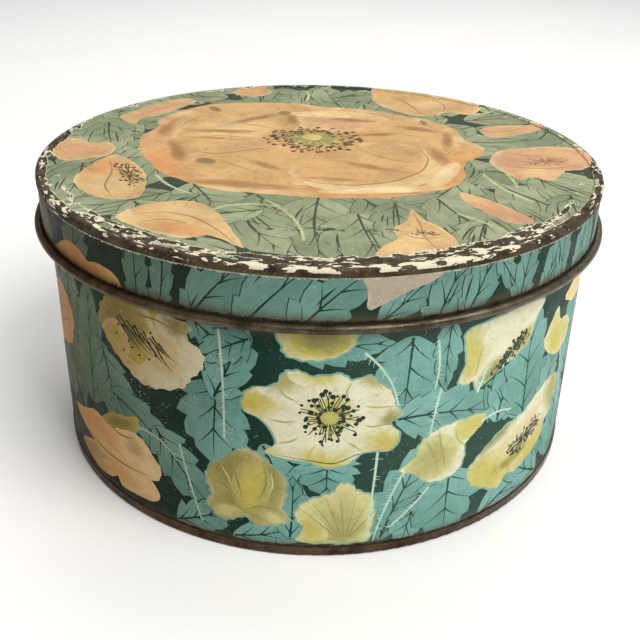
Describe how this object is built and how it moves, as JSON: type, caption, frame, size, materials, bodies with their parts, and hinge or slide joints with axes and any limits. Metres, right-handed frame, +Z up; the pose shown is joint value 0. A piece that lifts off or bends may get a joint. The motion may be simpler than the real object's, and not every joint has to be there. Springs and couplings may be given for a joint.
{
  "type": "cookie tin",
  "caption": "Low round printed tin with a flat slip-over lid, a wired bead round the lid's lower edge and a folded base rim.",
  "frame": {"origin": "centre of the base, on the surface the tin stands on", "axes": "+Z up along the tin's axis, +Y towards the joints in the rolled sheets, which are at the back"},
  "size_m": [0.2374, 0.2374, 0.12],
  "materials": {
    "printed_tinplate": "litho print under a worn gloss varnish, bare tinplate inside",
    "bare_tinplate": "aged, brown-grey, semi-dull",
    "wire": "plain drawn wire",
    "solder": "dull grey solder"
  },
  "bodies": {
    "tin": {"body_wall": "printed_tinplate", "base_plate": "bare_tinplate", "base_solder": "solder", "wall_seam_solder": "solder"},
    "lid": {"lid_panel": "printed_tinplate", "lid_skirt": "printed_tinplate", "lid_rim_wire": "wire", "lid_solder": "solder", "skirt_seam_solder": "solder"}
  },
  "joints": [
    {"name": "lid_lift", "type": "slide", "parent": "tin", "child": "lid", "axis": [0, 0, 1], "range_m": [0, 0.15]}
  ]
}
